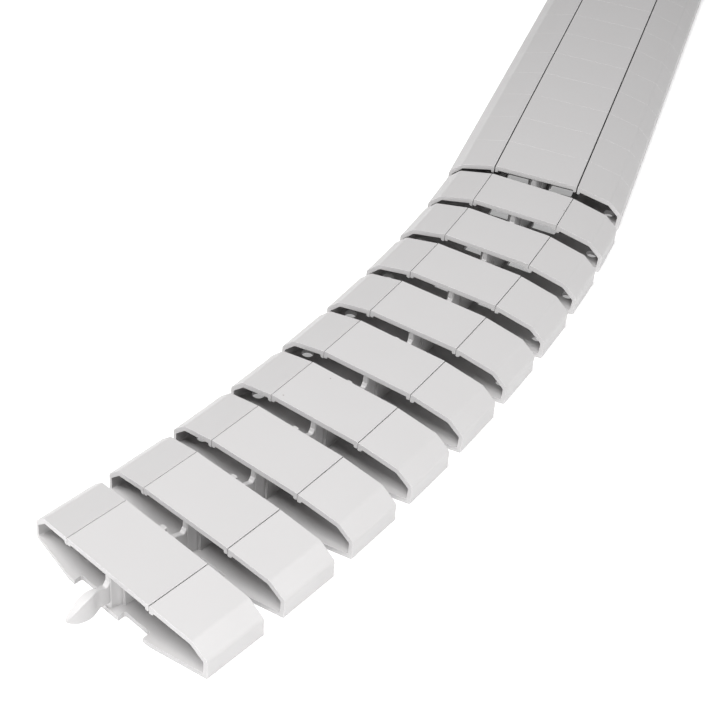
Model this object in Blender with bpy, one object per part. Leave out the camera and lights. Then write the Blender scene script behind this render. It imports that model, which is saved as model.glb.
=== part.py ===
"""Flexible floor trunking: a chain of twenty moulded links that slide and turn on each other.

Metres, +Z up. The underside of every link lies on the floor at Z = 0. The origin is under the
middle of link_10. The straight run goes along +Y from there, and the pulled-out end curves away
towards -Y and -X. Link_01 is the free end with its tongue showing.
"""
import bpy
import bmesh
from math import cos, pi, radians, sin
from mathutils import Matrix, Vector

MM = 0.001

# Link body
LINK_LENGTH = 24.7 * MM
LINK_PITCH = 25.0 * MM
HEIGHT = 20.0 * MM
HALF_WIDTH = 41.5 * MM
TIP_WALL_TOP = 8.2 * MM
SHOULDER_X = 35.5 * MM
SHOULDER_Z = 14.4 * MM
SLIT_X = 19.5 * MM
SLIT_WIDTH = 0.6 * MM
EDGE_SWEEP = 4.4 * MM
PANEL_THICKNESS = 2.1 * MM
WING_THICKNESS = 2.0 * MM
BASE_THICKNESS = 2.0 * MM
TIP_WALL = 1.5 * MM
BEAD_WIDTH = 1.3 * MM
BEAD_DEPTH = 1.0 * MM

# Middle wall and the narrow socket in its back part
WALL_X = -0.5 * MM
WALL_THICKNESS = 2.4 * MM
WALL_SHOULDER = [(1.2, 0.65), (1.42, 1.8), (1.78, 2.9), (2.25, 3.9), (2.4, 4.7)]
SOCKET_HALF_WIDTH = 3.3 * MM
SOCKET_WALL = 1.0 * MM
SOCKET_FLOOR = 6.5 * MM
SOCKET_CORNER = 1.2 * MM
EDGE_INSET = 0.15 * MM

# Tongue: an upright fin in line with the middle wall, with a waist and a thicker head.
# Each station gives y, half thickness, lowest and highest z in millimetres.
TONGUE_STATIONS = [
    (1.0, 1.10, 4.8, 12.6),
    (-0.5, 1.05, 4.9, 12.7),
    (-2.2, 0.95, 5.0, 13.3),
    (-3.6, 0.85, 4.9, 13.9),
    (-5.0, 1.00, 4.2, 14.3),
    (-6.4, 1.35, 3.9, 14.4),
    (-8.0, 1.62, 4.1, 14.2),
    (-9.8, 1.66, 4.4, 13.7),
    (-11.6, 1.60, 4.9, 12.9),
    (-13.2, 1.42, 5.6, 12.0),
    (-14.6, 1.12, 6.4, 11.1),
    (-15.8, 0.75, 7.3, 10.2),
    (-16.6, 0.35, 8.2, 9.4),
]
TONGUE_CHAMFER = 0.6 * MM
PIVOT_REACH = 12.6 * MM

# Base cut-outs
NOTCH_INNER = 4.8 * MM
NOTCH_OUTER = 16.7 * MM
NOTCH_DEPTH = 2.9 * MM
BACK_NOTCH_INNER = 4.8 * MM
BACK_NOTCH_OUTER = 16.2 * MM
BACK_NOTCH_START = 19.2 * MM
SCREW_HOLE_RADIUS = 2.5 * MM
SCREW_HOLE_X = 35.3 * MM
SCREW_HOLE_Y = 13.4 * MM

# Guide nub that slips under the next link's top panel
NUB_LEFT = 4.1 * MM
NUB_RIGHT = 1.9 * MM
NUB_REACH = 3.0 * MM
NUB_LENGTH = 4.7 * MM
NUB_LOW = 15.9 * MM
NUB_HIGH = 17.6 * MM

# Chain
LINK_COUNT = 20
CORNER_LINK = 10
PULLED_OUT = 8.6 * MM
BENDS = [4.8, 3.3, 2.5, 2.0, 2.1, 1.9, 2.1, 2.4, 1.7]

PIVOT_Y = LINK_PITCH + PULLED_OUT - PIVOT_REACH
CUT_MARGIN = 3.0 * MM


def clear_scene():
    """Take every object out of the new file."""
    for item in list(bpy.data.objects):
        bpy.data.objects.remove(item, do_unlink=True)


def make_collection(name):
    """Add a collection to the scene."""
    collection = bpy.data.collections.new(name)
    bpy.context.scene.collection.children.link(collection)
    return collection


def make_plastic():
    """Light warm grey rigid plastic."""
    material = bpy.data.materials.new("light_grey_plastic")
    material.use_nodes = True
    shader = material.node_tree.nodes["Principled BSDF"]
    shader.inputs["Base Color"].default_value = (0.70, 0.685, 0.68, 1.0)
    shader.inputs["Roughness"].default_value = 0.5
    shader.inputs["Metallic"].default_value = 0.0
    return material


def outline_solid(name, points, thickness, placement, collection):
    """Fill a closed 2D outline, give it thickness about its plane and return a mesh object."""
    curve = bpy.data.curves.new(name, "CURVE")
    curve.dimensions = "2D"
    curve.fill_mode = "BOTH"
    curve.extrude = thickness / 2
    spline = curve.splines.new("POLY")
    spline.points.add(len(points) - 1)
    for point, place in zip(spline.points, points):
        point.co = (place[0], place[1], 0.0, 1.0)
    spline.use_cyclic_u = True
    drawn = bpy.data.objects.new(name + "_outline", curve)
    collection.objects.link(drawn)
    drawn.matrix_world = placement
    bpy.context.view_layer.update()
    depsgraph = bpy.context.evaluated_depsgraph_get()
    mesh = bpy.data.meshes.new_from_object(drawn.evaluated_get(depsgraph))
    shape = bmesh.new()
    shape.from_mesh(mesh)
    bmesh.ops.remove_doubles(shape, verts=shape.verts, dist=1e-6)
    bmesh.ops.transform(shape, matrix=placement, verts=shape.verts)
    bmesh.ops.recalc_face_normals(shape, faces=shape.faces)
    shape.to_mesh(mesh)
    shape.free()
    bpy.data.objects.remove(drawn, do_unlink=True)
    bpy.data.curves.remove(curve)
    mesh.name = name
    solid = bpy.data.objects.new(name, mesh)
    collection.objects.link(solid)
    return solid


def plan_solid(name, points, low, high, collection):
    """Raise a plan outline from one height to another."""
    placement = Matrix.Translation((0.0, 0.0, (low + high) / 2))
    return outline_solid(name, points, high - low, placement, collection)


def arc(centre_x, centre_y, radius_x, radius_y, start, end, steps):
    """Points of an elliptical arc, angles in degrees."""
    points = []
    for step in range(steps + 1):
        angle = radians(start + (end - start) * step / steps)
        points.append((centre_x + radius_x * cos(angle), centre_y + radius_y * sin(angle)))
    return points


def mirrored(points):
    """A half outline about x = 0 followed by its mirror image in reverse order."""
    return points + [(-x, y) for x, y in reversed(points)]


def shifted(points, offset):
    """The same points moved along x."""
    return [(x + offset, y) for x, y in points]


def apply_boolean(target, tool, operation):
    """Join or cut with a solid and keep the result as the mesh."""
    modifier = target.modifiers.new("shape", "BOOLEAN")
    modifier.object = tool
    modifier.operation = operation
    modifier.solver = "EXACT"
    bpy.context.view_layer.update()
    depsgraph = bpy.context.evaluated_depsgraph_get()
    result = bpy.data.meshes.new_from_object(target.evaluated_get(depsgraph))
    target.modifiers.remove(modifier)
    old = target.data
    target.data = result
    bpy.data.meshes.remove(old)


def shell_outline():
    """Half of the hollow section for x >= 0, from the base's middle round to the panel's middle.

    The slit between the panel and the wing opens the space inside, so the section is one loop.
    """
    panel_edge = SLIT_X - SLIT_WIDTH / 2
    wing_edge = SLIT_X + SLIT_WIDTH / 2
    slope = (HEIGHT - SHOULDER_Z) / (SHOULDER_X - panel_edge)
    drop = WING_THICKNESS * (1 + slope ** 2) ** 0.5
    wing_top = HEIGHT - slope * (wing_edge - panel_edge)
    bead_back = wing_edge + BEAD_WIDTH
    wing_under = HEIGHT - slope * (bead_back - panel_edge) - drop
    inner_wall = HALF_WIDTH - TIP_WALL
    panel_under = HEIGHT - PANEL_THICKNESS
    outside = [
        (HALF_WIDTH, 0.0),
        (HALF_WIDTH, TIP_WALL_TOP),
        (SHOULDER_X, SHOULDER_Z),
        (wing_edge, wing_top),
    ]
    inside = [
        (wing_edge, wing_under - BEAD_DEPTH),
        (bead_back, wing_under - BEAD_DEPTH),
        (bead_back, wing_under),
        (SHOULDER_X - 0.6 * MM, HEIGHT - slope * (SHOULDER_X - 0.6 * MM - panel_edge) - drop),
        (inner_wall, TIP_WALL_TOP - 0.9 * MM),
        (inner_wall, BASE_THICKNESS),
    ]
    panel = [
        (panel_edge - BEAD_WIDTH, panel_under),
        (panel_edge - BEAD_WIDTH, panel_under - BEAD_DEPTH),
        (panel_edge, panel_under - BEAD_DEPTH),
        (panel_edge, HEIGHT),
    ]
    return outside, inside, panel


def make_shell(collection):
    """The hollow wing-shaped section without its middle wall, edges swept back beyond the slits."""
    outside, inside, panel = shell_outline()
    flip = [[(-x, z) for x, z in run] for run in (outside, inside, panel)]
    tray = outside + inside + list(reversed(flip[1])) + list(reversed(flip[0]))
    lie_along_y = Matrix.Translation((0.0, LINK_LENGTH / 2, 0.0)) @ Matrix.Rotation(pi / 2, 4, "X")
    shell = outline_solid("shell", tray, LINK_LENGTH, lie_along_y, collection)
    lid_points = panel + list(reversed(flip[2]))
    lid = outline_solid("lid", lid_points, LINK_LENGTH, lie_along_y, collection)
    shape = bmesh.new()
    shape.from_mesh(shell.data)
    for side in (-1, 1):
        geometry = shape.verts[:] + shape.edges[:] + shape.faces[:]
        place = (side * SLIT_X, 0.0, 0.0)
        bmesh.ops.bisect_plane(shape, geom=geometry, plane_co=place, plane_no=(1, 0, 0), dist=1e-7)
    for vertex in shape.verts:
        beyond = max(0.0, abs(vertex.co.x) - SLIT_X)
        vertex.co.y += EDGE_SWEEP * beyond / (HALF_WIDTH - SLIT_X)
    shape.to_mesh(shell.data)
    shape.free()
    return shell, lid


def make_wall(collection):
    """Middle wall seen from above: thin at the front, a small shoulder, a socket open to the back."""
    half = WALL_THICKNESS / 2
    inner = SOCKET_HALF_WIDTH - SOCKET_WALL
    back = LINK_LENGTH - EDGE_INSET
    shoulder = [(-x * MM, y * MM) for x, y in WALL_SHOULDER]
    corner = arc(-inner + SOCKET_CORNER, SOCKET_FLOOR + SOCKET_CORNER, SOCKET_CORNER,
                 SOCKET_CORNER, 180, 270, 3)
    left = [(-half, EDGE_INSET)] + shoulder + [
        (-SOCKET_HALF_WIDTH, shoulder[-1][1]),
        (-SOCKET_HALF_WIDTH, back),
        (-inner, back),
    ] + corner
    outline = shifted(mirrored(left), WALL_X)
    return plan_solid("wall", outline, BASE_THICKNESS / 2, HEIGHT - PANEL_THICKNESS / 2, collection)


def make_tongue(collection):
    """Upright fin drawn through its stations, its root buried in the middle wall."""
    shape = bmesh.new()
    rings = []
    for along, half, low, high in TONGUE_STATIONS:
        wide, bottom, top = half * MM, low * MM, high * MM
        cut = min(TONGUE_CHAMFER, 0.6 * wide)
        section = [(wide, bottom + cut), (wide, top - cut), (wide - cut, top), (cut - wide, top),
                   (-wide, top - cut), (-wide, bottom + cut), (cut - wide, bottom),
                   (wide - cut, bottom)]
        rings.append([shape.verts.new((WALL_X + x, along * MM, z)) for x, z in section])
    for near, far in zip(rings, rings[1:]):
        for index in range(len(near)):
            after = (index + 1) % len(near)
            shape.faces.new((near[index], near[after], far[after], far[index]))
    shape.faces.new(rings[0])
    shape.faces.new(list(reversed(rings[-1])))
    bmesh.ops.recalc_face_normals(shape, faces=shape.faces)
    mesh = bpy.data.meshes.new("tongue")
    shape.to_mesh(mesh)
    shape.free()
    solid = bpy.data.objects.new("tongue", mesh)
    collection.objects.link(solid)
    return solid


def make_nub(collection):
    """Small guide nub under the back edge of the top panel."""
    reach = LINK_LENGTH + NUB_REACH
    root = reach - NUB_LENGTH
    corner = 0.7 * MM
    left = WALL_X - NUB_LEFT
    right = WALL_X - NUB_RIGHT
    outline = [
        (left, root),
        (right, root),
        (right, reach - corner),
        (right - corner, reach),
        (left + corner, reach),
        (left, reach - corner),
    ]
    nub = plan_solid("nub", outline, NUB_LOW, NUB_HIGH, collection)
    stem = [(left + 0.2 * MM, root + 0.2 * MM), (right - 0.2 * MM, root + 0.2 * MM),
            (right - 0.2 * MM, LINK_LENGTH - 0.4 * MM), (left + 0.2 * MM, LINK_LENGTH - 0.4 * MM)]
    post = plan_solid("nub_stem", stem, NUB_LOW + 0.5 * MM, HEIGHT - PANEL_THICKNESS / 2, collection)
    return nub, post


def make_box(name, low, high, collection):
    """A box between two corners."""
    points = [(low[0], low[1]), (high[0], low[1]), (high[0], high[1]), (low[0], high[1])]
    return plan_solid(name, points, low[2], high[2], collection)


def make_disc(name, x, y, radius, low, high, steps, collection):
    """A round plug standing upright."""
    points = arc(x, y, radius, radius, 0, 360 - 360 / steps, steps - 1)
    return plan_solid(name, points, low, high, collection)


def make_cutters(collection):
    """Front and back notches and screw holes in the base."""
    cutters = []
    for side in (-1, 1):
        edges = sorted((side * NOTCH_INNER, side * NOTCH_OUTER))
        cutters.append(make_box("notch_cutter", (edges[0], -CUT_MARGIN, -CUT_MARGIN),
                                (edges[1], NOTCH_DEPTH, BASE_THICKNESS + CUT_MARGIN), collection))
        edges = sorted((WALL_X + side * BACK_NOTCH_INNER, WALL_X + side * BACK_NOTCH_OUTER))
        cutters.append(make_box("back_notch_cutter", (edges[0], BACK_NOTCH_START, -CUT_MARGIN),
                                (edges[1], LINK_LENGTH + CUT_MARGIN, BASE_THICKNESS + 0.5 * MM),
                                collection))
        cutters.append(make_disc("screw_hole_cutter", side * SCREW_HOLE_X, SCREW_HOLE_Y,
                                 SCREW_HOLE_RADIUS, -CUT_MARGIN, BASE_THICKNESS + CUT_MARGIN,
                                 16, collection))
    return cutters


def make_link_mesh(shapes, material):
    """One whole link, its mesh origin on the pivot of the next link's tongue."""
    shell, lid = make_shell(shapes)
    wall = make_wall(shapes)
    apply_boolean(wall, lid, "UNION")
    apply_boolean(shell, wall, "UNION")
    nub, post = make_nub(shapes)
    for added in (make_tongue(shapes), post, nub):
        apply_boolean(shell, added, "UNION")
    for cutter in make_cutters(shapes):
        apply_boolean(shell, cutter, "DIFFERENCE")
        cutter.hide_render = True
        cutter.display_type = "WIRE"
    mesh = shell.data
    shape = bmesh.new()
    shape.from_mesh(mesh)
    bmesh.ops.remove_doubles(shape, verts=shape.verts, dist=1e-6)
    bmesh.ops.dissolve_limit(shape, angle_limit=radians(0.05), verts=shape.verts, edges=shape.edges)
    bmesh.ops.triangulate(shape, faces=shape.faces)
    bmesh.ops.translate(shape, vec=(-WALL_X, -PIVOT_Y, 0.0), verts=shape.verts)
    shape.to_mesh(mesh)
    shape.free()
    mesh.name = "link"
    mesh.materials.clear()
    mesh.materials.append(material)
    for item in list(shapes.objects):
        if item.display_type != "WIRE":
            bpy.data.objects.remove(item, do_unlink=True)
    return mesh


def link_places():
    """Front-centre point and heading of every link, from the free end to the far end."""
    places = {}
    for number in range(CORNER_LINK, LINK_COUNT + 1):
        along = (number - CORNER_LINK) * LINK_PITCH - LINK_LENGTH / 2
        places[number] = (Vector((0.0, along)), 0.0)
    origin, heading = places[CORNER_LINK]
    for number in range(CORNER_LINK - 1, 0, -1):
        pivot = origin + Matrix.Rotation(heading, 2) @ Vector((WALL_X, -PIVOT_REACH))
        heading -= radians(BENDS[CORNER_LINK - 1 - number])
        origin = pivot - Matrix.Rotation(heading, 2) @ Vector((WALL_X, PIVOT_Y))
        places[number] = (origin, heading)
    return places


def build():
    """Lay out the whole chain."""
    clear_scene()
    chain = make_collection("flexible_floor_trunking")
    shapes = make_collection("cutters")
    mesh = make_link_mesh(shapes, make_plastic())
    for number, (origin, heading) in sorted(link_places().items()):
        link = bpy.data.objects.new(f"link_{number:02d}", mesh)
        pivot = origin + Matrix.Rotation(heading, 2) @ Vector((WALL_X, PIVOT_Y))
        link.location = (pivot.x, pivot.y, 0.0)
        link.rotation_euler = (0.0, 0.0, heading)
        chain.objects.link(link)
    bpy.context.view_layer.update()


build()
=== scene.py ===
# %% [markdown]
# # Flexible cable trunking on a studio floor
# The real object is a chain of moulded plastic links that lies flat on the floor and hides
# cables. Each link is one moulding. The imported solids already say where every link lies, so
# this lesson keeps that frame and dresses each link in a finer moulding with rounded edges.

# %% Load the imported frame
import bpy
import bmesh
from math import cos, pi, radians, sin
from mathutils import Matrix, Vector


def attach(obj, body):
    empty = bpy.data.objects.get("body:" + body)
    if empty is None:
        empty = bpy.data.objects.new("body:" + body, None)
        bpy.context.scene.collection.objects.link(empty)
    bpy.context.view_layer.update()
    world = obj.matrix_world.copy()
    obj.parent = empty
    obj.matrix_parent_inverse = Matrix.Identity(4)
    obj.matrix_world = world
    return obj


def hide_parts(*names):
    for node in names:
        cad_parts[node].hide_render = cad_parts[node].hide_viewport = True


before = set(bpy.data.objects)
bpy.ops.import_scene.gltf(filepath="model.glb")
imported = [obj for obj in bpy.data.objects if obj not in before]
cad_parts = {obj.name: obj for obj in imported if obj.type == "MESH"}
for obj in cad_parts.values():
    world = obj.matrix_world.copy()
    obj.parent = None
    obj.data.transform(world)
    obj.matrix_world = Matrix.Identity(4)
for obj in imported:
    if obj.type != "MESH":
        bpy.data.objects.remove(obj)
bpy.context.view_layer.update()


def in_mm(point):
    """A place given in metres, in millimetres for printing."""
    return [round(value * 1000, 1) for value in point]


# %% [markdown]
# ## The sizes of one link
# A maker starts from the section that the mould gives: a flat base, upright tips, a
# shoulder, and wings that rise to a flat top panel. A slit on each side of the panel lets
# cables be pressed in. The numbers are in millimetres, and those of the section are the
# solids' own, but for two. The slit is drawn a hair narrower, because its rounded edges make
# it look wider. And every front edge is drawn a little longer, by the front lip, so that the
# seams between closed links show as hairlines. Both are chosen.

# %% Section sizes
MM = 0.001
LINK_LENGTH = 24.7
LINK_PITCH = 25.0
FRONT_LIP = 0.26
HEIGHT = 20.0
HALF_WIDTH = 41.5
TIP_WALL_TOP = 8.2
TIP_WALL = 1.5
TIP_WALL_INNER_DROP = 0.9
SHOULDER = (35.5, 14.4)
SHOULDER_INNER_SHIFT = 0.6
SLIT_X = 19.5
SLIT_WIDTH = 0.58
EDGE_SWEEP = 4.4
PANEL_THICKNESS = 2.1
WING_THICKNESS = 2.0
BASE_THICKNESS = 2.0
BEAD_WIDTH = 1.3
BEAD_DEPTH = 1.0
print("section", 2 * HALF_WIDTH, "x", HEIGHT, "mm, pitch", LINK_PITCH, "mm")

# %% Wall and tongue sizes
WALL_X = -0.5
WALL_THICKNESS = 2.4
WALL_FRONT_CHAMFER = 0.5
# Half width of the wall, then the distance behind the front edge.
WALL_SHOULDER = [(1.2, 0.65), (1.42, 1.8), (1.78, 2.9), (2.25, 3.9), (2.4, 4.7)]
SOCKET_HALF_WIDTH = 3.3
SOCKET_WALL = 1.0
SOCKET_FLOOR = 6.5
SOCKET_CORNER = 1.2
EDGE_INSET = 0.15
# Distance behind the front edge, half width, underside and top of the tongue.
TONGUE_STATIONS = [
    (1.0, 1.10, 4.8, 14.8),
    (0.1, 1.10, 4.8, 14.2),
    (-0.4, 1.08, 4.8, 13.3),
    (-1.2, 1.02, 4.9, 12.9),
    (-2.2, 0.95, 5.0, 13.3),
    (-3.6, 0.85, 4.9, 13.9),
    (-5.0, 1.00, 4.2, 14.3),
    (-6.4, 1.35, 3.9, 14.4),
    (-8.0, 1.62, 4.1, 14.2),
    (-9.8, 1.66, 4.4, 13.7),
    (-11.6, 1.60, 4.9, 12.9),
    (-13.2, 1.42, 5.6, 12.0),
    (-14.6, 1.12, 6.4, 11.1),
    (-15.8, 0.75, 7.3, 10.2),
    (-16.6, 0.35, 8.2, 9.4),
]
PIVOT_REACH = 12.6
print("tongue reaches", -TONGUE_STATIONS[-1][0], "mm ahead of the link")

# %% [markdown]
# ## Where the links lie
# The straight run is pushed together, a pitch apart. In the bend every link is pulled out
# by the same amount and turned a few degrees about the thick head of the tongue in its
# socket. The places could be copied from the solids as a list, but the rule is shorter, and
# it shows how such a chain really bends.

# %% Chain layout
LINK_COUNT = 20
CORNER_LINK = 10
PULLED_OUT = 8.6
BENDS = [4.8, 3.3, 2.5, 2.0, 2.1, 1.9, 2.1, 2.4, 1.7]
PIVOT_Y = LINK_PITCH + PULLED_OUT - PIVOT_REACH


def link_matrices():
    """Place of every link's front-centre point in metres, with its heading."""
    places = {}
    for number in range(CORNER_LINK, LINK_COUNT + 1):
        along = (number - CORNER_LINK) * LINK_PITCH - LINK_LENGTH / 2
        places[number] = (Vector((0.0, along)), 0.0)
    origin, heading = places[CORNER_LINK]
    for number in range(CORNER_LINK - 1, 0, -1):
        pivot = origin + Matrix.Rotation(heading, 2) @ Vector((WALL_X, -PIVOT_REACH))
        heading -= radians(BENDS[CORNER_LINK - 1 - number])
        origin = pivot - Matrix.Rotation(heading, 2) @ Vector((WALL_X, PIVOT_Y))
        places[number] = (origin, heading)
    matrices = {}
    for number, (point, turn) in places.items():
        move = Matrix.Translation((point.x * MM, point.y * MM, 0.0))
        matrices[number] = move @ Matrix.Rotation(turn, 4, "Z")
    return matrices


LINK_MATRICES = link_matrices()
print("free end at", in_mm(LINK_MATRICES[1].translation), "mm")

# %% [markdown]
# ## Camera, floor and light
# The camera stands where the photographer's stood: a little less than half a metre from the
# free end, looking down along the chain. The floor is a plain white sheet with no edge in
# view, and it glows faintly so that it stays white under lights that suit the plastic. Four
# soft panels do the lighting, which keeps shadows weak, as in the photograph: one high over
# the bend for the tops, one low in front for the open ends, and one at each side for the
# wings. One light from above would be simpler, but the open ends face away from it.

# %% Camera
CAMERA_PLACE = (0.073386, -0.57639, 0.362777)
CAMERA_TURN, CAMERA_TILT, CAMERA_ROLL = 14.505, 50.599, 6.835
camera_data = bpy.data.cameras.new("photo_camera")
camera_data.sensor_width = 36.0
camera_data.lens = 71.26
camera_data.clip_start = 0.01
camera_data.clip_end = 20.0
camera = bpy.data.objects.new("photo_camera", camera_data)
bpy.context.scene.collection.objects.link(camera)
camera.matrix_world = (
    Matrix.Translation(CAMERA_PLACE)
    @ Matrix.Rotation(radians(CAMERA_TURN), 4, "Z")
    @ Matrix.Rotation(radians(CAMERA_TILT), 4, "X")
    @ Matrix.Rotation(radians(CAMERA_ROLL), 4, "Z")
)
bpy.context.scene.camera = camera
print("camera", [round(value * 1000) for value in camera.location], "mm, lens", camera_data.lens)

# %% Floor
WHITE = (1.0, 1.0, 1.0, 1.0)
FLOOR_REACH = 3.0
FLOOR_DROP = 0.0003
floor_mesh = bpy.data.meshes.new("studio_floor")
floor_shape = bmesh.new()
bmesh.ops.create_grid(floor_shape, x_segments=2, y_segments=2, size=FLOOR_REACH)
floor_shape.to_mesh(floor_mesh)
floor_shape.free()
floor = bpy.data.objects.new("studio_floor", floor_mesh)
floor.location = (0.0, 0.0, -FLOOR_DROP)
bpy.context.scene.collection.objects.link(floor)
floor_paint = bpy.data.materials.new("white_sheet")
floor_paint.use_nodes = True
floor_shader = floor_paint.node_tree.nodes["Principled BSDF"]
floor_shader.inputs["Base Color"].default_value = (0.72, 0.72, 0.72, 1.0)
floor_shader.inputs["Roughness"].default_value = 0.8
floor_shader.inputs["Specular IOR Level"].default_value = 0.2
floor_shader.inputs["Emission Color"].default_value = WHITE
floor_shader.inputs["Emission Strength"].default_value = 0.33
floor_mesh.materials.append(floor_paint)
print("floor", floor.dimensions[:2])

# %% Studio light


def soft_panel(name, place, target, size, power):
    """A square soft light of a size in metres and a power in watts that looks at a point."""
    data = bpy.data.lights.new(name, "AREA")
    data.shape = "SQUARE"
    data.size = size
    data.energy = power
    lamp = bpy.data.objects.new(name, data)
    lamp.location = place
    aim = Vector(target) - Vector(place)
    lamp.rotation_euler = aim.to_track_quat("-Z", "Y").to_euler()
    bpy.context.scene.collection.objects.link(lamp)


world = bpy.data.worlds.new("studio")
world.use_nodes = True
world_shader = world.node_tree.nodes["Background"]
world_shader.inputs["Color"].default_value = WHITE
world_shader.inputs["Strength"].default_value = 0.15
bpy.context.scene.world = world
bpy.context.scene.view_settings.view_transform = "Standard"
soft_panel("high_light", (-0.2, -0.64, 1.2), (0.0, -0.15, 0.0), 0.5, 20.0)
soft_panel("front_light", (0.4, -1.45, 0.4), (0.0, -0.2, 0.0), 0.6, 12.0)
soft_panel("left_light", (-1.1, -0.35, 0.6), (0.0, -0.1, 0.0), 0.7, 11.5)
soft_panel("right_light", (1.0, -0.4, 0.6), (0.0, -0.1, 0.0), 0.8, 9.5)

# %% [markdown]
# ## Drawing tools
# A moulded shape is easiest to keep exact when it is drawn as a flat outline and given
# thickness, like a die drawing. The helpers below draw arcs and rounded corners, fill an
# outline and raise it, and join or cut solids. Modelling by hand from a cube would give the
# same faces, but no size could be changed afterwards.

# %% Arcs and rounded corners


def arc(centre, radii, start, end, steps):
    """Points of an elliptical arc, angles in degrees."""
    points = []
    for step in range(steps + 1):
        angle = radians(start + (end - start) * step / steps)
        points.append((centre[0] + radii[0] * cos(angle), centre[1] + radii[1] * sin(angle)))
    return points


def rounded(points, radii, steps):
    """A closed outline whose corners are rounded by the radius given for each, 0 for sharp."""
    shortest_tangent = 0.001
    longest_share = 0.48
    result = []
    count = len(points)
    for index, (point, radius) in enumerate(zip(points, radii)):
        if radius <= 0:
            result.append(point)
            continue
        corner = Vector(point)
        before = Vector(points[index - 1]) - corner
        after = Vector(points[(index + 1) % count]) - corner
        half_angle = before.angle(after) / 2
        reach = radius / max(shortest_tangent, sin(half_angle) / cos(half_angle))
        reach = min(reach, before.length * longest_share, after.length * longest_share)
        start = corner + before.normalized() * reach
        end = corner + after.normalized() * reach
        for step in range(steps + 1):
            part = step / steps
            blend = start * (1 - part) ** 2 + corner * 2 * part * (1 - part) + end * part ** 2
            result.append((blend.x, blend.y))
    return result


print("rounded square:", len(rounded([(0, 0), (1, 0), (1, 1), (0, 1)], [0.2] * 4, 4)), "points")

# %% Moves and smooth curves


def shifted(points, offset):
    """The same points moved along x."""
    return [(x + offset, y) for x, y in points]


def flipped(points):
    """The mirror image of an outline about x = 0, run the other way round."""
    return [(-x, y) for x, y in reversed(points)]


def smooth_through(points, steps):
    """A smooth curve through points of any dimension, so that a form has no kinks."""
    result = []
    last = len(points) - 1
    for index in range(last):
        four = [Vector(points[max(0, min(last, index + k))]) for k in (-1, 0, 1, 2)]
        before, start, end, after = four
        for step in range(steps):
            t = step / steps
            pull = start * 2 + (end - before) * t
            pull += (before * 2 - start * 5 + end * 4 - after) * t ** 2
            pull += (start * 3 - before - end * 3 + after) * t ** 3
            result.append(tuple(pull / 2))
    result.append(tuple(points[-1]))
    return result


print("curve through 3 points:", len(smooth_through([(0, 0), (1, 1), (2, 0)], 3)), "points")

# %% Solids from outlines
WELD_DISTANCE = 1e-6
FLAT_ANGLE = 0.001


def outline_solid(name, points, thickness, placement):
    """Fill an outline given in millimetres, thicken it about its plane and place it."""
    curve = bpy.data.curves.new(name, "CURVE")
    curve.dimensions = "2D"
    curve.fill_mode = "BOTH"
    curve.extrude = thickness * MM / 2
    spline = curve.splines.new("POLY")
    spline.points.add(len(points) - 1)
    for point, place in zip(spline.points, points):
        point.co = (place[0] * MM, place[1] * MM, 0.0, 1.0)
    spline.use_cyclic_u = True
    drawn = bpy.data.objects.new(name + "_outline", curve)
    bpy.context.scene.collection.objects.link(drawn)
    bpy.context.view_layer.update()
    graph = bpy.context.evaluated_depsgraph_get()
    mesh = bpy.data.meshes.new_from_object(drawn.evaluated_get(graph))
    bpy.data.objects.remove(drawn, do_unlink=True)
    bpy.data.curves.remove(curve)
    shape = bmesh.new()
    shape.from_mesh(mesh)
    bmesh.ops.remove_doubles(shape, verts=shape.verts, dist=WELD_DISTANCE)
    bmesh.ops.dissolve_limit(
        shape, angle_limit=FLAT_ANGLE, verts=shape.verts, edges=shape.edges)
    bmesh.ops.transform(shape, matrix=placement, verts=shape.verts)
    bmesh.ops.recalc_face_normals(shape, faces=shape.faces)
    shape.to_mesh(mesh)
    shape.free()
    solid = bpy.data.objects.new(name, mesh)
    bpy.context.scene.collection.objects.link(solid)
    return solid


def plan_solid(name, points, low, high):
    """Raise a plan outline from one height to another, in millimetres."""
    middle = Matrix.Translation((0, 0, (low + high) * MM / 2))
    return outline_solid(name, points, high - low, middle)


print("outlines become solids")

# %% Joining and cutting


def combine(target, tool, operation):
    """Join or cut with a solid, keep the result and take the tool away."""
    modifier = target.modifiers.new("shape", "BOOLEAN")
    modifier.object = tool
    modifier.operation = operation
    modifier.solver = "EXACT"
    bpy.context.view_layer.update()
    graph = bpy.context.evaluated_depsgraph_get()
    result = bpy.data.meshes.new_from_object(target.evaluated_get(graph))
    target.modifiers.remove(modifier)
    old = target.data
    target.data = result
    bpy.data.meshes.remove(old)
    bpy.data.objects.remove(tool, do_unlink=True)


print("drawing tools ready")

# %% [markdown]
# ## The hollow section
# The real wings bend over soft shoulders, and the panel and wings end in thickened beads at
# each slit that snap back after a cable is pushed through. Rounding the corners in the
# drawing gives clean strips along the link, which a bevel on the finished solid would not.

# %% Section outlines


def both_sides(half, steps):
    """Mirror a right half, a list of a corner and its radius, and round its corners."""
    places = [place for place, radius in half]
    radii = [radius for place, radius in half]
    return rounded(places + flipped(places), radii + radii[::-1], steps)


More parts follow.
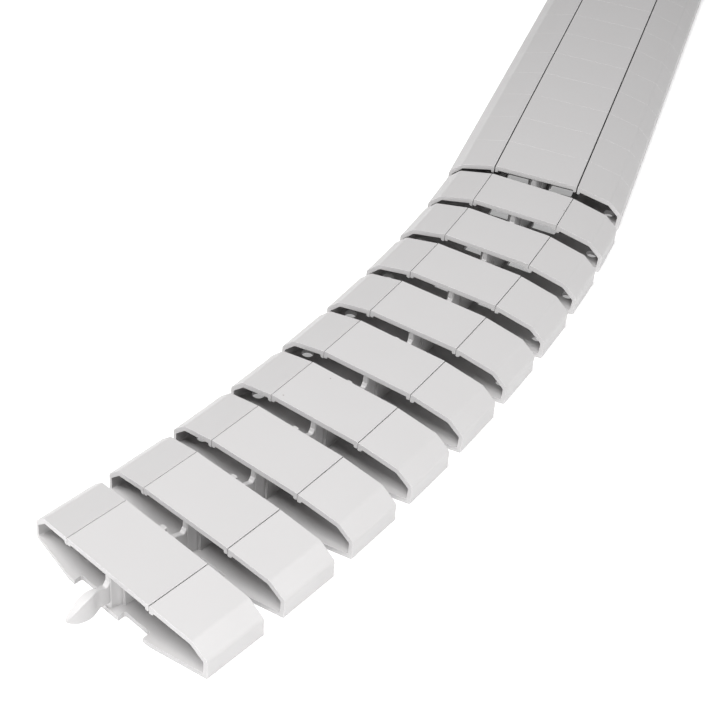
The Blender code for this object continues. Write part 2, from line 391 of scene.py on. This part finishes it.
def section_outlines():
    """The tray with both wings, and the top panel, as closed outlines across the link."""
    panel_edge = SLIT_X - SLIT_WIDTH / 2
    wing_edge = SLIT_X + SLIT_WIDTH / 2
    slope = (HEIGHT - SHOULDER[1]) / (SHOULDER[0] - panel_edge)
    drop = WING_THICKNESS * (1 + slope ** 2) ** 0.5
    bead_back = wing_edge + BEAD_WIDTH
    under_bead = HEIGHT - slope * (bead_back - panel_edge) - drop
    inner_x = SHOULDER[0] - SHOULDER_INNER_SHIFT
    inner_wall = HALF_WIDTH - TIP_WALL
    tray_half = [
        ((HALF_WIDTH, 0.0), 0.4),
        ((HALF_WIDTH, TIP_WALL_TOP), 2.6),
        (SHOULDER, 3.0),
        ((wing_edge, HEIGHT - slope * SLIT_WIDTH), 0.25),
        ((wing_edge, under_bead - BEAD_DEPTH), 0.4),
        ((bead_back, under_bead - BEAD_DEPTH), 0.4),
        ((bead_back, under_bead), 0.3),
        ((inner_x, HEIGHT - slope * (inner_x - panel_edge) - drop), 2.0),
        ((inner_wall, TIP_WALL_TOP - TIP_WALL_INNER_DROP), 1.6),
        ((inner_wall, BASE_THICKNESS), 0.8),
    ]
    panel_under = HEIGHT - PANEL_THICKNESS
    panel_half = [
        ((panel_edge, HEIGHT), 0.25),
        ((panel_edge, panel_under - BEAD_DEPTH), 0.4),
        ((panel_edge - BEAD_WIDTH, panel_under - BEAD_DEPTH), 0.4),
        ((panel_edge - BEAD_WIDTH, panel_under), 0.3),
    ]
    return both_sides(tray_half, 4), both_sides(panel_half, 3)


tray_outline, panel_outline = section_outlines()
print("section points:", len(tray_outline), "tray,", len(panel_outline), "panel")

# %% [markdown]
# ## Swept edges
# Seen from above, each link is a shallow arrow: outside the slits its front and back edges
# lean back, so neighbouring links stay apart at the tips when the chain bends. The section
# is drawn straight, cut at the slit lines and then sheared, so the faces stay flat.

# %% Tray and panel
CUT_TOLERANCE = 1e-7
DRAWN_LENGTH = LINK_LENGTH + FRONT_LIP
LIE_ALONG = (
    Matrix.Translation((0.0, (LINK_LENGTH - FRONT_LIP) * MM / 2, 0.0))
    @ Matrix.Rotation(pi / 2, 4, "X")
)


def sweep_back(solid):
    """Shear the parts beyond the slits backwards."""
    shape = bmesh.new()
    shape.from_mesh(solid.data)
    for side in (-1, 1):
        bmesh.ops.bisect_plane(
            shape, geom=shape.verts[:] + shape.edges[:] + shape.faces[:],
            plane_co=(side * SLIT_X * MM, 0.0, 0.0), plane_no=(1, 0, 0), dist=CUT_TOLERANCE)
    for vertex in shape.verts:
        beyond = max(0.0, abs(vertex.co.x) - SLIT_X * MM)
        vertex.co.y += EDGE_SWEEP * beyond / (HALF_WIDTH - SLIT_X)
    shape.to_mesh(solid.data)
    shape.free()


tray = outline_solid("tray", tray_outline, DRAWN_LENGTH, LIE_ALONG)
sweep_back(tray)
panel = outline_solid("panel", panel_outline, DRAWN_LENGTH, LIE_ALONG)
print("tray", len(tray.data.polygons), "faces, panel", len(panel.data.polygons), "faces")

# %% [markdown]
# ## Middle wall and socket
# One wall holds the panel up. Behind its thin front it widens over a small shoulder into a
# narrow socket that is open to the back. The tongue of the next link slides in there. Seen
# from above it is all one outline, so it is drawn in plan and raised from the base to the
# panel, half a thickness into each so that the three join cleanly.

# %% Wall and socket
CURVE_STEPS = 3


def wall_outline():
    """The wall from above: thin front, curved shoulder, socket open to the back."""
    half = WALL_THICKNESS / 2
    inner = SOCKET_HALF_WIDTH - SOCKET_WALL
    back = LINK_LENGTH - EDGE_INSET
    shoulder = smooth_through([(-x, y) for x, y in WALL_SHOULDER], CURVE_STEPS)
    corner = arc((-inner + SOCKET_CORNER, SOCKET_FLOOR + SOCKET_CORNER),
                 (SOCKET_CORNER, SOCKET_CORNER), 180, 270, 6)
    front = [(-half + WALL_FRONT_CHAMFER, EDGE_INSET), (-half, EDGE_INSET + WALL_FRONT_CHAMFER)]
    socket = [(-SOCKET_HALF_WIDTH, shoulder[-1][1]), (-SOCKET_HALF_WIDTH, back), (-inner, back)]
    left = front + shoulder[1:] + socket + corner
    return shifted(left + flipped(left), WALL_X)


wall = plan_solid("wall", wall_outline(), BASE_THICKNESS / 2, HEIGHT - PANEL_THICKNESS / 2)
combine(wall, panel, "UNION")
combine(tray, wall, "UNION")
print("with the wall:", len(tray.data.polygons), "faces")

# %% [markdown]
# ## Tongue and nub
# The tongue is an upright fin in line with the wall. It narrows to a waist and swells to a
# thicker, almond-shaped head. Its cross-section is a soft rectangle at every station, and a
# smooth curve runs through the stations. A raised outline could not give the tip its taper.
# Behind, a small nub under the panel slips below the next link's panel and, it seems, keeps
# the two level. Both differ a little from the solids, to look more like the photograph: the
# root of the tongue has a fillet, and the nub is 0.2 mm wider.

# %% Tongue
TONGUE_CORNER = 0.5
TONGUE_CORNER_SHARE = 0.7


def soft_section(along, half, low, high):
    """Points of a rectangle with soft corners across the tongue, in millimetres."""
    radius = min(TONGUE_CORNER, half * TONGUE_CORNER_SHARE)
    corners = [(-half, low), (half, low), (half, high), (-half, high)]
    return [(WALL_X + across, along, up) for across, up in rounded(corners, [radius] * 4, 4)]


def make_tongue():
    """Skin the soft sections from the root in the wall to the tip."""
    shape = bmesh.new()
    rings = []
    for station in smooth_through(TONGUE_STATIONS, CURVE_STEPS):
        rings.append([shape.verts.new(Vector(point) * MM) for point in soft_section(*station)])
    for near, far in zip(rings, rings[1:]):
        for index in range(len(near)):
            after = (index + 1) % len(near)
            shape.faces.new((near[index], near[after], far[after], far[index]))
    shape.faces.new(rings[0])
    shape.faces.new(list(reversed(rings[-1])))
    bmesh.ops.recalc_face_normals(shape, faces=shape.faces)
    mesh = bpy.data.meshes.new("tongue")
    shape.to_mesh(mesh)
    shape.free()
    solid = bpy.data.objects.new("tongue", mesh)
    bpy.context.scene.collection.objects.link(solid)
    return solid


combine(tray, make_tongue(), "UNION")
print("with the tongue:", len(tray.data.polygons), "faces")

# %% Nub under the back edge
NUB_CORNER = 0.8
NUB_LOW, NUB_HIGH = 15.9, 17.6
STEM_LOW = 16.4
STEM_INSET = 0.2
NUB_FAR, NUB_NEAR, NUB_REACH, NUB_LENGTH = 4.3, 1.9, 3.0, 4.7
STEM_BEFORE_NUB_END, STEM_BEFORE_EDGE = 4.5, 0.4
nub_left, nub_right = WALL_X - NUB_FAR, WALL_X - NUB_NEAR
nub_end = LINK_LENGTH + NUB_REACH
nub_start = nub_end - NUB_LENGTH
stem_start, stem_end = nub_end - STEM_BEFORE_NUB_END, LINK_LENGTH - STEM_BEFORE_EDGE
nub_outline = rounded(
    [(nub_left, nub_start), (nub_right, nub_start), (nub_right, nub_end), (nub_left, nub_end)],
    [0, 0, NUB_CORNER, NUB_CORNER], 4)
stem_left, stem_right = nub_left + STEM_INSET, nub_right - STEM_INSET
nub_stem = [(stem_left, stem_start), (stem_right, stem_start),
            (stem_right, stem_end), (stem_left, stem_end)]
combine(tray, plan_solid("nub_stem", nub_stem, STEM_LOW, HEIGHT - PANEL_THICKNESS / 2), "UNION")
combine(tray, plan_solid("nub", nub_outline, NUB_LOW, NUB_HIGH), "UNION")
print("with the nub:", len(tray.data.polygons), "faces")

# %% [markdown]
# ## Cut-outs in the base
# The base has two shallow notches in its front edge, two deeper ones in its back edge, where
# the floor shows through, and a screw hole near each tip. They could be part of the section
# only if they ran the whole length, so they are cut from the finished solid instead. Every
# cutter reaches past the base, because faces that only touch give a ragged cut.

# %% Notches and screw holes
CUT_MARGIN = 3.0
BACK_CUT_RISE = 0.5
NOTCH_CORNER = 0.8
NOTCH_NEAR, NOTCH_FAR, NOTCH_DEPTH = 4.8, 16.7, 2.9
BACK_NOTCH_NEAR, BACK_NOTCH_FAR = 4.8, 16.2
BACK_NOTCH_START, BACK_NOTCH_END = 19.2, 28.0
SCREW_HOLE_X, SCREW_HOLE_Y, SCREW_HOLE_RADIUS = 35.3, 13.4, 2.5


def cut_base(name, points, rise):
    """Cut an outline through the base of the tray, to a rise above its upper face."""
    cutter = plan_solid(name, points, -CUT_MARGIN, BASE_THICKNESS + rise)
    combine(tray, cutter, "DIFFERENCE")


def notch_outline(sides, start, end, radii):
    """A rectangle between two sides, with a radius at each corner."""
    near, far = sorted(sides)
    return rounded([(near, start), (far, start), (far, end), (near, end)], radii, 4)


for side in (-1, 1):
    front = (side * NOTCH_NEAR, side * NOTCH_FAR)
    back = (WALL_X + side * BACK_NOTCH_NEAR, WALL_X + side * BACK_NOTCH_FAR)
    front_notch = notch_outline(
        front, -CUT_MARGIN, NOTCH_DEPTH, [0, 0, NOTCH_CORNER, NOTCH_CORNER])
    back_notch = notch_outline(
        back, BACK_NOTCH_START, BACK_NOTCH_END, [NOTCH_CORNER, NOTCH_CORNER, 0, 0])
    hole = arc((side * SCREW_HOLE_X, SCREW_HOLE_Y), (SCREW_HOLE_RADIUS,) * 2, 0, 345, 23)
    cut_base("notch", front_notch, CUT_MARGIN)
    cut_base("back_notch", back_notch, BACK_CUT_RISE)
    cut_base("screw_hole", hole, CUT_MARGIN)
print("finished cuts:", len(tray.data.polygons), "faces")

# %% [markdown]
# ## Rounded rims
# No moulded edge is knife sharp. In the photograph the front rims catch the light as a
# bright line about a millimetre wide. A bevel along every sharp edge of the finished solid
# makes those rims, and weighted normals keep the big faces looking flat. The bevel gives its
# own faces a second material number, which is kept as a face value that marks the rims, so
# that a painted highlight, paler than the plastic, can be laid along them. The tongue is left
# out of that marking: its edges are soft already.

# %% Bevel the moulding
RIM_WIDTH, RIM_SEGMENTS, RIM_ANGLE = 0.35, 3, 35
RIM_WELD = 2e-6
RIM_FLAT_ANGLE = 0.5


def merge_flat_faces(mesh):
    """Weld double points and merge neighbouring faces that lie in one plane."""
    shape = bmesh.new()
    shape.from_mesh(mesh)
    bmesh.ops.remove_doubles(shape, verts=shape.verts, dist=RIM_WELD)
    bmesh.ops.dissolve_limit(
        shape, angle_limit=radians(RIM_FLAT_ANGLE), verts=shape.verts, edges=shape.edges)
    shape.to_mesh(mesh)
    shape.free()


def soften_edges(solid):
    """Round every sharp edge of the solid and mark the faces of the rims."""
    merge_flat_faces(solid.data)
    bevel = solid.modifiers.new("rims", "BEVEL")
    bevel.width = RIM_WIDTH * MM
    bevel.segments = RIM_SEGMENTS
    bevel.limit_method = "ANGLE"
    bevel.angle_limit = radians(RIM_ANGLE)
    bevel.use_clamp_overlap = True
    solid.data.materials.clear()
    for _ in range(2):
        solid.data.materials.append(None)
    bevel.material = 1
    for face in solid.data.polygons:
        face.use_smooth = True
        face.material_index = 0
    flat = solid.modifiers.new("flat", "WEIGHTED_NORMAL")
    flat.mode = "FACE_AREA"
    flat.weight = 100
    flat.keep_sharp = True
    bpy.context.view_layer.update()
    graph = bpy.context.evaluated_depsgraph_get()
    mesh = bpy.data.meshes.new_from_object(solid.evaluated_get(graph))
    solid.modifiers.clear()
    # Mark the rim faces, except those of the tongue, for a painted highlight in the plastic's
    # colour.
    painted_rim_highlight = mesh.attributes.new("painted_rim_highlight", "FLOAT", "FACE")
    for face in mesh.polygons:
        on_tongue = face.center.y <= -MM
        painted_rim_highlight.data[face.index].value = 0 if on_tongue else face.material_index
        face.material_index = 0
    return mesh


moulding = soften_edges(tray)
bpy.data.objects.remove(tray, do_unlink=True)
moulding.name = "link_moulding"
print("rim faces:", sum(item.value > 0.5 for item in moulding.attributes["painted_rim_highlight"].data))
triangle_count = sum(len(face.vertices) - 2 for face in moulding.polygons)
print("moulding:", len(moulding.polygons), "faces,", triangle_count, "triangles")

# %% [markdown]
# ## Narrower slits in the bend
# In the photograph the slits are dark lines along the straight run and only hairlines in the
# bend. The reason isn't known. The real links are presumably alike, and it may be only the
# way in which light enters the slits. So this step is for the look alone: the bend gets a
# copy of the moulding whose slit lips are moved together. The move fades out a little more
# than a bead's width from the slit, so the flat faces stay flat elsewhere.

# %% Close the slits of the bent links
CLOSED_BY = (0.17, 0.22)
FADE_IN_BEADS = 1.3


def close_slits(mesh, left, right):
    """Move each lip of the slits towards their middle, by a share of a millimetre."""
    reach = BEAD_WIDTH * MM * FADE_IN_BEADS
    for vertex in mesh.vertices:
        side = 1 if vertex.co.x > 0 else -1
        offset = side * vertex.co.x - SLIT_X * MM
        if 0 < abs(offset) < reach:
            shift = (right if side > 0 else left) * MM * (1 - abs(offset) / reach)
            vertex.co.x -= side * (shift if offset > 0 else -shift)


bent_moulding = moulding.copy()
bent_moulding.name = "bent_link_moulding"
close_slits(bent_moulding, *CLOSED_BY)
print("slits in the bend:", [round(SLIT_WIDTH - 2 * share, 2) for share in CLOSED_BY], "mm")

# %% [markdown]
# ## Plastic
# The links are pale, slightly warm grey plastic with the fine satin grain of a spark-eroded
# mould, faint cloudy flow and a rare dark speck, and their rims get a painted highlight.
# Noise gives clouds and grain at any scale without a picture, and it follows the object's
# own coordinates, so no seam shows.
# All of it lives in one group, so that its shades and scales can be set per material.

# %% Patterns in the plastic
SPECK_CELLS = 160.0
SPECK_SIZE = 0.045
SPECK_RARITY = 0.9
SPECK_SHADE = (0.18, 0.16, 0.15, 1.0)


def noise_at(tree, spot, scale, detail):
    """A noise pattern at a place, whose scale comes from a socket."""
    noise = tree.nodes.new("ShaderNodeTexNoise")
    noise.inputs["Detail"].default_value = detail
    tree.links.new(spot, noise.inputs["Vector"])
    tree.links.new(scale, noise.inputs["Scale"])
    return noise.outputs["Fac"]


def rare_specks(tree, spot):
    """A mask of round specks in the few cells whose random red is high."""
    cells = tree.nodes.new("ShaderNodeTexVoronoi")
    cells.inputs["Scale"].default_value = SPECK_CELLS
    tree.links.new(spot, cells.inputs["Vector"])
    near = tree.nodes.new("ShaderNodeMath")
    near.operation = "LESS_THAN"
    near.inputs[1].default_value = SPECK_SIZE
    tree.links.new(cells.outputs["Distance"], near.inputs[0])
    picked = tree.nodes.new("ShaderNodeSeparateColor")
    tree.links.new(cells.outputs["Color"], picked.inputs["Color"])
    rare = tree.nodes.new("ShaderNodeMath")
    rare.operation = "GREATER_THAN"
    rare.inputs[1].default_value = SPECK_RARITY
    tree.links.new(picked.outputs["Red"], rare.inputs[0])
    both = tree.nodes.new("ShaderNodeMath")
    both.operation = "MULTIPLY"
    tree.links.new(near.outputs[0], both.inputs[0])
    tree.links.new(rare.outputs[0], both.inputs[1])
    return both.outputs[0]


def colour_mix(tree, factor, first):
    """A colour mix node whose second colour is still open."""
    mix = tree.nodes.new("ShaderNodeMix")
    mix.data_type = "RGBA"
    tree.links.new(factor, mix.inputs["Factor"])
    tree.links.new(first, mix.inputs["A"])
    return mix


print("patterns: clouds, grain and specks")

# %% Moulded surface group
SMOOTHEST, ROUGHEST = 0.42, 0.55
SHADES_IN = ("Shade Light", "Shade Dark", "Painted Rim Highlight")
SCALES_IN = ("Cloud Scale", "Grain Scale")


def make_surface_group():
    """Cloudy, specked colour with a painted highlight on the rims, roughness and a grain height.
    """
    group = bpy.data.node_groups.new("moulded_surface", "ShaderNodeTree")
    for name in SHADES_IN:
        group.interface.new_socket(name, in_out="INPUT", socket_type="NodeSocketColor")
    for name in SCALES_IN:
        group.interface.new_socket(name, in_out="INPUT", socket_type="NodeSocketFloat")
    group.interface.new_socket("Color", in_out="OUTPUT", socket_type="NodeSocketColor")
    for name in ("Roughness", "Height"):
        group.interface.new_socket(name, in_out="OUTPUT", socket_type="NodeSocketFloat")
    nodes, links = group.nodes, group.links
    given = nodes.new("NodeGroupInput")
    result = nodes.new("NodeGroupOutput")
    spot = nodes.new("ShaderNodeTexCoord").outputs["Object"]
    clouds = noise_at(group, spot, given.outputs["Cloud Scale"], 3.0)
    grain = noise_at(group, spot, given.outputs["Grain Scale"], 2.0)
    cloudy = colour_mix(group, clouds, given.outputs["Shade Light"])
    links.new(given.outputs["Shade Dark"], cloudy.inputs["B"])
    specked = colour_mix(group, rare_specks(group, spot), cloudy.outputs["Result"])
    specked.inputs["B"].default_value = SPECK_SHADE
    # The marked rim faces take the rim colour: a painted highlight, paler than the plastic.
    painted_rim_highlight = nodes.new("ShaderNodeAttribute")
    painted_rim_highlight.attribute_name = "painted_rim_highlight"
    edged = colour_mix(group, painted_rim_highlight.outputs["Fac"], specked.outputs["Result"])
    links.new(given.outputs["Painted Rim Highlight"], edged.inputs["B"])
    rough = nodes.new("ShaderNodeMapRange")
    rough.inputs["To Min"].default_value = SMOOTHEST
    rough.inputs["To Max"].default_value = ROUGHEST
    links.new(clouds, rough.inputs["Value"])
    links.new(edged.outputs["Result"], result.inputs["Color"])
    links.new(rough.outputs["Result"], result.inputs["Roughness"])
    links.new(grain, result.inputs["Height"])
    return group


surface_group = make_surface_group()
sockets = surface_group.interface.items_tree
print("group outputs:", [item.name for item in sockets if item.in_out == "OUTPUT"])

# %% Grey plastic material
LIGHT_SHADE = (0.371, 0.365, 0.366, 1.0)
DARK_SHADE = (0.355, 0.348, 0.348, 1.0)
# The rim colour is a painted highlight: about twice as pale as the plastic, for the light that
# the rims catch.
PAINTED_RIM_HIGHLIGHT = (0.720, 0.713, 0.709, 1.0)


def make_plastic(name, light, dark, painted_rim_highlight):
    """Satin moulded plastic between two close shades, with a painted highlight along its rims.
    """
    material = bpy.data.materials.new(name)
    material.use_nodes = True
    nodes, links = material.node_tree.nodes, material.node_tree.links
    shader = nodes["Principled BSDF"]
    shader.inputs["IOR"].default_value = 1.49
    group = nodes.new("ShaderNodeGroup")
    group.node_tree = surface_group
    group.inputs["Shade Light"].default_value = light
    group.inputs["Shade Dark"].default_value = dark
    group.inputs["Painted Rim Highlight"].default_value = painted_rim_highlight
    group.inputs["Cloud Scale"].default_value = 45.0
    group.inputs["Grain Scale"].default_value = 2600.0
    bump = nodes.new("ShaderNodeBump")
    bump.inputs["Strength"].default_value = 0.12
    bump.inputs["Distance"].default_value = 0.00004
    links.new(group.outputs["Height"], bump.inputs["Height"])
    links.new(bump.outputs["Normal"], shader.inputs["Normal"])
    links.new(group.outputs["Color"], shader.inputs["Base Color"])
    links.new(group.outputs["Roughness"], shader.inputs["Roughness"])
    return material


grey_plastic = make_plastic("pale_grey_plastic", LIGHT_SHADE, DARK_SHADE, PAINTED_RIM_HIGHLIGHT)
for shape in (moulding, bent_moulding):
    shape.materials.clear()
    shape.materials.append(grey_plastic)
print("material:", grey_plastic.name)

# %% [markdown]
# ## The chain
# Every link is the same moulding, so one mesh is copied for each place in the chain, with
# the narrower slits in the bend. Copies that share one mesh would be lighter. But the place
# goes into the mesh here, so that the clouds and specks of the plastic fall differently on
# every link, as on real parts. Each link rides on the body of the solid that it stands for.

# %% Lay the links
for number, matrix in sorted(LINK_MATRICES.items()):
    mesh = (moulding if number >= CORNER_LINK else bent_moulding).copy()
    mesh.transform(matrix)
    link = bpy.data.objects.new(f"link_{number:02d}_moulding", mesh)
    bpy.context.scene.collection.objects.link(link)
    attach(link, f"link_{number:02d}")
    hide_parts(f"link_{number:02d}")
print("links laid:", len(LINK_MATRICES))
